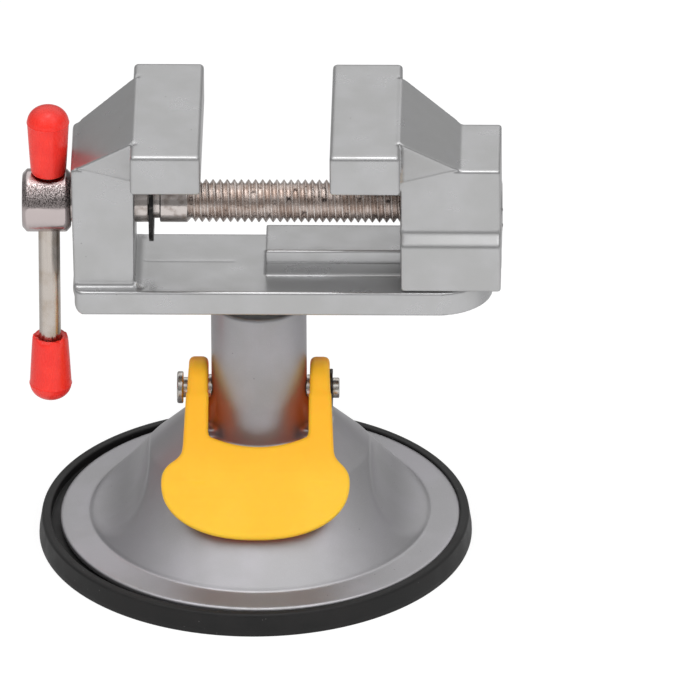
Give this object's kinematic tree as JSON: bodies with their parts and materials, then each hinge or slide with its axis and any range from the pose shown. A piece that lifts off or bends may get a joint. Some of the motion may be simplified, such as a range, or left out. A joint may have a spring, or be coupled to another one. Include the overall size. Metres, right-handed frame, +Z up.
{
  "type": "suction base vise",
  "caption": "Small bench vise that swivels on a column over a round rubber suction base, locked by a forked lever, with a sliding jaw driven by a lead screw and a sliding bar.",
  "frame": {"origin": "under the middle of the whole part, on the surface that the rubber ring stands on; the column's axis is 0.975 mm to its -X side", "axes": "+Z up, +X along the lead screw from its head to the moving jaw, and -Y towards the side where the lever's paddle lies"},
  "size_m": [0.1222, 0.11, 0.1229],
  "materials": {
    "base_paint": "glossy grey metallic paint on a casting",
    "vise_paint": "satin grey metallic paint on a casting",
    "rubber": "matt black, faintly scuffed",
    "lever_plastic": "semi-gloss yellow, faintly ribbed",
    "cap_plastic": "glossy red",
    "bright_steel": "bright plated",
    "screw_steel": "plated, worn thread with dark marks",
    "black_steel": "black oxide",
    "spring_steel": "drawn wire",
    "nylon": "natural, plain",
    "dark_screw": "dark, machined"
  },
  "bodies": {
    "base": {"base_housing": "base_paint", "suction_cup": "rubber", "cup_diaphragm": "rubber", "release_spring": "spring_steel", "swivel_bush": "nylon", "swivel_washer": "bright_steel", "swivel_lock_washer": "spring_steel"},
    "vise": {"vise_body": "vise_paint", "swivel_screw": "dark_screw"},
    "moving_jaw": {"moving_jaw": "vise_paint"},
    "screw": {"lead_screw": "screw_steel", "screw_clip": "black_steel"},
    "handle": {"tommy_bar": "bright_steel", "upper_cap": "cap_plastic", "lower_cap": "cap_plastic"},
    "stem": {"cup_stem": "bright_steel", "lever_pin": "bright_steel", "lever_pin_clip": "black_steel", "left_spacer": "bright_steel", "right_spacer": "bright_steel"},
    "lever": {"locking_lever": "lever_plastic"}
  },
  "joints": [
    {"name": "swivel", "type": "hinge", "parent": "base", "child": "vise", "pos_m": [-0.00097, 0, 0.0718], "axis": [0, 0, 1], "continuous": true},
    {"name": "screw_turn", "type": "hinge", "parent": "vise", "child": "screw", "pos_m": [-0.03238, 0, 0.0961], "axis": [1, 0, 0], "range_deg": [0, 6480]},
    {"name": "jaw_slide", "type": "slide", "parent": "vise", "child": "moving_jaw", "axis": [-1, 0, 0], "range_m": [0, 0.0324]},
    {"name": "bar_slide", "type": "slide", "parent": "screw", "child": "handle", "axis": [0, 0, 1], "range_m": [0, 0.0303]},
    {"name": "stem_lift", "type": "slide", "parent": "base", "child": "stem", "axis": [0, 0, 1], "range_m": [-0.003, 0], "deforming": ["release_spring", "cup_diaphragm"]},
    {"name": "lever_swing", "type": "hinge", "parent": "stem", "child": "lever", "pos_m": [-0.00097, 0, 0.042], "axis": [-1, 0, 0], "range_deg": [0, 70]}
  ],
  "couplings": [
    {"joint": "jaw_slide", "follows": "screw_turn", "m_per_rad": 0.00028648},
    {"joint": "stem_lift", "follows": "lever_swing", "m_per_rad": -0.0024555}
  ]
}
